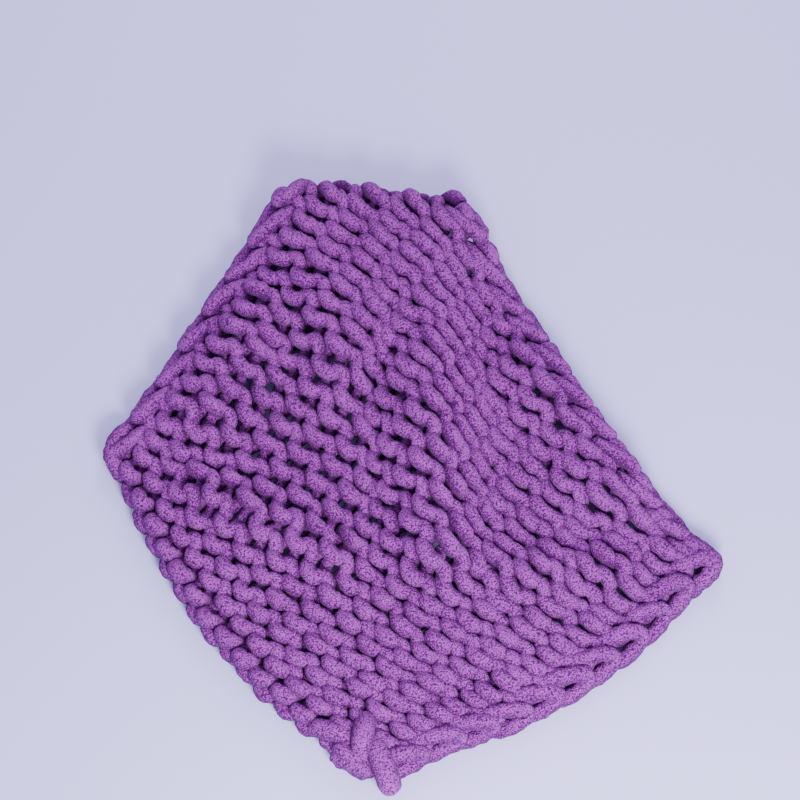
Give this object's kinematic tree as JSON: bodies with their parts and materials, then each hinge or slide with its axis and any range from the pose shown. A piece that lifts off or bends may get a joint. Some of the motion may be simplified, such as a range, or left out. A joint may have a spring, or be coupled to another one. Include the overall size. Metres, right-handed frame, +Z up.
{
  "type": "chunky knit blanket",
  "caption": "Thick hand-knit chenille blanket laid out flat with one corner to the front, its far corner turned under and a long soft ridge across it.",
  "frame": {"origin": "on the surface that the blanket lies on, under the middle of its box", "axes": "+Z up off the surface, +X from the blanket's left corner to its right one, +Y from the front corner to the turned-under end"},
  "size_m": [1.1874, 1.2214, 0.1127],
  "materials": {
    "chenille_yarn": "matte"
  },
  "bodies": {
    "root": {"blanket": "chenille_yarn"}
  },
  "joints": []
}
